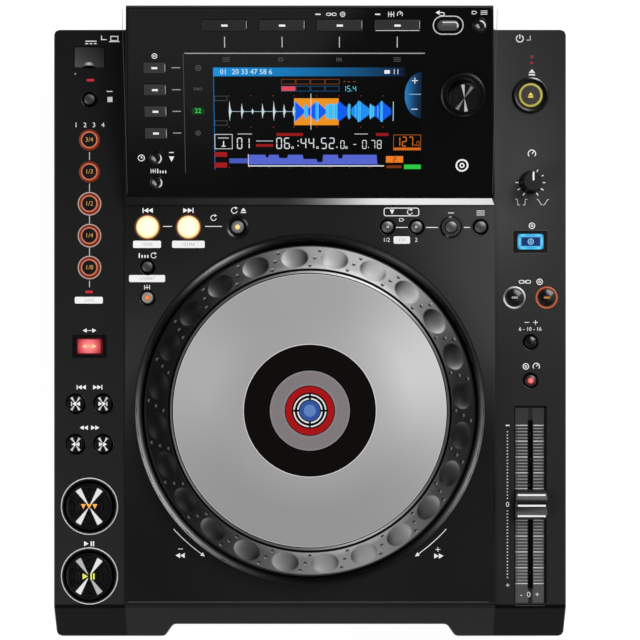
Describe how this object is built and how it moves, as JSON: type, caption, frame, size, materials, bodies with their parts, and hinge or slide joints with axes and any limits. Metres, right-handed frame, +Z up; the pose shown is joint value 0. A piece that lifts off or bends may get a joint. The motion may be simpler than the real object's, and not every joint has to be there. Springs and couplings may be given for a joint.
{
  "type": "disc player",
  "caption": "Slot-loading tabletop disc player with a large jog wheel, sloping colour display, lit buttons and a tempo fader.",
  "frame": {"origin": "on the table under the middle of the player's bounding box", "axes": "+X is the player's right hand side, +Y its rear, where the display is, and +Z is up"},
  "size_m": [0.305, 0.3722, 0.1049],
  "materials": {
    "case_top": "fine matte black",
    "case_tray": "satin black paint",
    "display_case": "satin black",
    "display_glass": "dark tinted gloss",
    "circuit_board": "green lacquer",
    "power_supply": "bare board",
    "drive_steel": "zinc plated sheet",
    "turntable": "matte",
    "roller": "matte",
    "jog_ring": "metallic dark grey",
    "jog_top": "spun silver",
    "jog_screen": "gloss with lit rings",
    "usb_flap": "satin dark grey",
    "switch_cap": "satin",
    "shaft_steel": "turned",
    "knob": "satin dark grey",
    "fader": "satin black",
    "button_black": "satin black",
    "button_warm": "lit diffuser",
    "button_red": "lit diffuser",
    "button_blue": "lit diffuser"
  },
  "bodies": {
    "chassis": {"lower_case": "case_tray", "top_cover": "case_top", "display_housing": "display_case", "display_window": "display_glass", "display_board": "circuit_board", "jog_display": "jog_screen", "drive_frame": "drive_steel", "main_board": "circuit_board", "power_board": "power_supply", "control_board": "circuit_board"},
    "jog": {"jog_rim": "jog_ring", "jog_plate": "jog_top"},
    "usb_stop_button": {"usb_stop_button": "button_black"},
    "beat_3_4_button": {"beat_3_4_button": "button_black"},
    "beat_1_3_button": {"beat_1_3_button": "button_black"},
    "beat_1_2_button": {"beat_1_2_button": "button_black"},
    "beat_1_4_button": {"beat_1_4_button": "button_black"},
    "beat_1_8_button": {"beat_1_8_button": "button_black"},
    "direction_button": {"direction_button": "button_red"},
    "track_search_back_button": {"track_search_back_button": "button_black"},
    "track_search_forward_button": {"track_search_forward_button": "button_black"},
    "search_back_button": {"search_back_button": "button_black"},
    "search_forward_button": {"search_forward_button": "button_black"},
    "cue_button": {"cue_button": "button_black"},
    "play_pause_button": {"play_pause_button": "button_black"},
    "eject_button": {"eject_button": "button_black"},
    "jog_mode_button": {"jog_mode_button": "button_blue"},
    "sync_button": {"sync_button": "button_black"},
    "master_button": {"master_button": "button_black"},
    "tempo_range_button": {"tempo_range_button": "button_black"},
    "master_tempo_button": {"master_tempo_button": "button_black"},
    "loop_in_button": {"loop_in_button": "button_warm"},
    "loop_out_button": {"loop_out_button": "button_warm"},
    "reloop_button": {"reloop_button": "button_black"},
    "call_back_button": {"call_back_button": "button_black"},
    "call_forward_button": {"call_forward_button": "button_black"},
    "delete_button": {"delete_button": "button_black"},
    "memory_button": {"memory_button": "button_black"},
    "four_beat_loop_button": {"four_beat_loop_button": "button_black"},
    "slip_button": {"slip_button": "button_black"},
    "source_1_button": {"source_1_button": "button_black"},
    "source_2_button": {"source_2_button": "button_black"},
    "source_3_button": {"source_3_button": "button_black"},
    "source_4_button": {"source_4_button": "button_black"},
    "menu_1_button": {"menu_1_button": "button_black"},
    "menu_2_button": {"menu_2_button": "button_black"},
    "menu_3_button": {"menu_3_button": "button_black"},
    "menu_4_button": {"menu_4_button": "button_black"},
    "back_button": {"back_button": "button_black"},
    "tag_track_button": {"tag_track_button": "button_black"},
    "time_mode_button": {"time_mode_button": "button_black"},
    "quantize_button": {"quantize_button": "button_black"},
    "power_switch": {"power_switch": "switch_cap"},
    "usb_door": {"usb_door": "usb_flap"},
    "selector_shaft": {"selector_shaft": "shaft_steel"},
    "selector_knob": {"selector_knob": "knob"},
    "speed_adjust_knob": {"speed_adjust_knob": "knob"},
    "tempo_fader_cap": {"tempo_fader_cap": "fader"},
    "disc_turntable": {"disc_turntable": "turntable"},
    "loading_roller": {"loading_roller": "roller"}
  },
  "joints": [
    {"name": "jog_turn", "type": "hinge", "parent": "chassis", "child": "jog", "pos_m": [0, -0.0488, 0.08], "axis": [0, 0, 1], "continuous": true},
    {"name": "usb_stop_press", "type": "slide", "parent": "chassis", "child": "usb_stop_button", "axis": [0, 0, -1], "range_m": [0, 0.0005], "stiffness_N_per_m": 2000},
    {"name": "beat_3_4_press", "type": "slide", "parent": "chassis", "child": "beat_3_4_button", "axis": [0, 0, -1], "range_m": [0, 0.0005], "stiffness_N_per_m": 2000},
    {"name": "beat_1_3_press", "type": "slide", "parent": "chassis", "child": "beat_1_3_button", "axis": [0, 0, -1], "range_m": [0, 0.0005], "stiffness_N_per_m": 2000},
    {"name": "beat_1_2_press", "type": "slide", "parent": "chassis", "child": "beat_1_2_button", "axis": [0, 0, -1], "range_m": [0, 0.0005], "stiffness_N_per_m": 2000},
    {"name": "beat_1_4_press", "type": "slide", "parent": "chassis", "child": "beat_1_4_button", "axis": [0, 0, -1], "range_m": [0, 0.0005], "stiffness_N_per_m": 2000},
    {"name": "beat_1_8_press", "type": "slide", "parent": "chassis", "child": "beat_1_8_button", "axis": [0, 0, -1], "range_m": [0, 0.0005], "stiffness_N_per_m": 2000},
    {"name": "direction_press", "type": "slide", "parent": "chassis", "child": "direction_button", "axis": [0, 0, -1], "range_m": [0, 0.0005], "stiffness_N_per_m": 2000},
    {"name": "track_search_back_press", "type": "slide", "parent": "chassis", "child": "track_search_back_button", "axis": [0, 0, -1], "range_m": [0, 0.0005], "stiffness_N_per_m": 2000},
    {"name": "track_search_forward_press", "type": "slide", "parent": "chassis", "child": "track_search_forward_button", "axis": [0, 0, -1], "range_m": [0, 0.0005], "stiffness_N_per_m": 2000},
    {"name": "search_back_press", "type": "slide", "parent": "chassis", "child": "search_back_button", "axis": [0, 0, -1], "range_m": [0, 0.0005], "stiffness_N_per_m": 2000},
    {"name": "search_forward_press", "type": "slide", "parent": "chassis", "child": "search_forward_button", "axis": [0, 0, -1], "range_m": [0, 0.0005], "stiffness_N_per_m": 2000},
    {"name": "cue_press", "type": "slide", "parent": "chassis", "child": "cue_button", "axis": [0, 0, -1], "range_m": [0, 0.0012], "stiffness_N_per_m": 2000},
    {"name": "play_pause_press", "type": "slide", "parent": "chassis", "child": "play_pause_button", "axis": [0, 0, -1], "range_m": [0, 0.0012], "stiffness_N_per_m": 2000},
    {"name": "eject_press", "type": "slide", "parent": "chassis", "child": "eject_button", "axis": [0, 0, -1], "range_m": [0, 0.0012], "stiffness_N_per_m": 2000},
    {"name": "jog_mode_press", "type": "slide", "parent": "chassis", "child": "jog_mode_button", "axis": [0, 0, -1], "range_m": [0, 0.0005], "stiffness_N_per_m": 2000},
    {"name": "sync_press", "type": "slide", "parent": "chassis", "child": "sync_button", "axis": [0, 0, -1], "range_m": [0, 0.0005], "stiffness_N_per_m": 2000},
    {"name": "master_press", "type": "slide", "parent": "chassis", "child": "master_button", "axis": [0, 0, -1], "range_m": [0, 0.0005], "stiffness_N_per_m": 2000},
    {"name": "tempo_range_press", "type": "slide", "parent": "chassis", "child": "tempo_range_button", "axis": [0, 0, -1], "range_m": [0, 0.0005], "stiffness_N_per_m": 2000},
    {"name": "master_tempo_press", "type": "slide", "parent": "chassis", "child": "master_tempo_button", "axis": [0, 0, -1], "range_m": [0, 0.0005], "stiffness_N_per_m": 2000},
    {"name": "loop_in_press", "type": "slide", "parent": "chassis", "child": "loop_in_button", "axis": [0, 0, -1], "range_m": [0, 0.0005], "stiffness_N_per_m": 2000},
    {"name": "loop_out_press", "type": "slide", "parent": "chassis", "child": "loop_out_button", "axis": [0, 0, -1], "range_m": [0, 0.0005], "stiffness_N_per_m": 2000},
    {"name": "reloop_press", "type": "slide", "parent": "chassis", "child": "reloop_button", "axis": [0, 0, -1], "range_m": [0, 0.0005], "stiffness_N_per_m": 2000},
    {"name": "call_back_press", "type": "slide", "parent": "chassis", "child": "call_back_button", "axis": [0, 0, -1], "range_m": [0, 0.0005], "stiffness_N_per_m": 2000},
    {"name": "call_forward_press", "type": "slide", "parent": "chassis", "child": "call_forward_button", "axis": [0, 0, -1], "range_m": [0, 0.0005], "stiffness_N_per_m": 2000},
    {"name": "delete_press", "type": "slide", "parent": "chassis", "child": "delete_button", "axis": [0, 0, -1], "range_m": [0, 0.0005], "stiffness_N_per_m": 2000},
    {"name": "memory_press", "type": "slide", "parent": "chassis", "child": "memory_button", "axis": [0, 0, -1], "range_m": [0, 0.0005], "stiffness_N_per_m": 2000},
    {"name": "four_beat_loop_press", "type": "slide", "parent": "chassis", "child": "four_beat_loop_button", "axis": [0, 0, -1], "range_m": [0, 0.0005], "stiffness_N_per_m": 2000},
    {"name": "slip_press", "type": "slide", "parent": "chassis", "child": "slip_button", "axis": [0, 0, -1], "range_m": [0, 0.0005], "stiffness_N_per_m": 2000},
    {"name": "source_1_press", "type": "slide", "parent": "chassis", "child": "source_1_button", "axis": [0, 0.2924, -0.9563], "range_m": [0, 0.0005], "stiffness_N_per_m": 2000},
    {"name": "source_2_press", "type": "slide", "parent": "chassis", "child": "source_2_button", "axis": [0, 0.2924, -0.9563], "range_m": [0, 0.0005], "stiffness_N_per_m": 2000},
    {"name": "source_3_press", "type": "slide", "parent": "chassis", "child": "source_3_button", "axis": [0, 0.2924, -0.9563], "range_m": [0, 0.0005], "stiffness_N_per_m": 2000},
    {"name": "source_4_press", "type": "slide", "parent": "chassis", "child": "source_4_button", "axis": [0, 0.2924, -0.9563], "range_m": [0, 0.0005], "stiffness_N_per_m": 2000},
    {"name": "menu_1_press", "type": "slide", "parent": "chassis", "child": "menu_1_button", "axis": [0, 0.2924, -0.9563], "range_m": [0, 0.0005], "stiffness_N_per_m": 2000},
    {"name": "menu_2_press", "type": "slide", "parent": "chassis", "child": "menu_2_button", "axis": [0, 0.2924, -0.9563], "range_m": [0, 0.0005], "stiffness_N_per_m": 2000},
    {"name": "menu_3_press", "type": "slide", "parent": "chassis", "child": "menu_3_button", "axis": [0, 0.2924, -0.9563], "range_m": [0, 0.0005], "stiffness_N_per_m": 2000},
    {"name": "menu_4_press", "type": "slide", "parent": "chassis", "child": "menu_4_button", "axis": [0, 0.2924, -0.9563], "range_m": [0, 0.0005], "stiffness_N_per_m": 2000},
    {"name": "back_press", "type": "slide", "parent": "chassis", "child": "back_button", "axis": [0, 0.2924, -0.9563], "range_m": [0, 0.0005], "stiffness_N_per_m": 2000},
    {"name": "tag_track_press", "type": "slide", "parent": "chassis", "child": "tag_track_button", "axis": [0, 0.2924, -0.9563], "range_m": [0, 0.0005], "stiffness_N_per_m": 2000},
    {"name": "time_mode_press", "type": "slide", "parent": "chassis", "child": "time_mode_button", "axis": [0, 0.2924, -0.9563], "range_m": [0, 0.0005], "stiffness_N_per_m": 2000},
    {"name": "quantize_press", "type": "slide", "parent": "chassis", "child": "quantize_button", "axis": [0, 0.2924, -0.9563], "range_m": [0, 0.0005], "stiffness_N_per_m": 2000},
    {"name": "power_switch_press", "type": "slide", "parent": "chassis", "child": "power_switch", "axis": [0, -1, 0], "range_m": [0, 0.0025], "stiffness_N_per_m": 1500},
    {"name": "usb_door_hinge", "type": "hinge", "parent": "chassis", "child": "usb_door", "pos_m": [-0.13135, 0.16635, 0.06525], "axis": [-1, 0, 0], "range_deg": [0, 95]},
    {"name": "selector_press", "type": "slide", "parent": "chassis", "child": "selector_shaft", "axis": [0, 0.2924, -0.9563], "range_m": [0, 0.0006], "stiffness_N_per_m": 4000},
    {"name": "selector_turn", "type": "hinge", "parent": "selector_shaft", "child": "selector_knob", "pos_m": [0.0894, 0.13627, 0.09027], "axis": [0, -0.2924, 0.9563], "continuous": true},
    {"name": "speed_adjust_turn", "type": "hinge", "parent": "chassis", "child": "speed_adjust_knob", "pos_m": [0.13135, 0.0863, 0.066], "axis": [0, 0, 1], "range_deg": [-150, 150]},
    {"name": "tempo_slide", "type": "slide", "parent": "chassis", "child": "tempo_fader_cap", "axis": [0, 1, 0], "range_m": [-0.047, 0.047]},
    {"name": "disc_spin", "type": "hinge", "parent": "chassis", "child": "disc_turntable", "pos_m": [0, -0.1092, 0.0365], "axis": [0, 0, 1], "continuous": true},
    {"name": "loading_roller_turn", "type": "hinge", "parent": "chassis", "child": "loading_roller", "pos_m": [0, -0.1612, 0.0334], "axis": [1, 0, 0], "continuous": true}
  ]
}
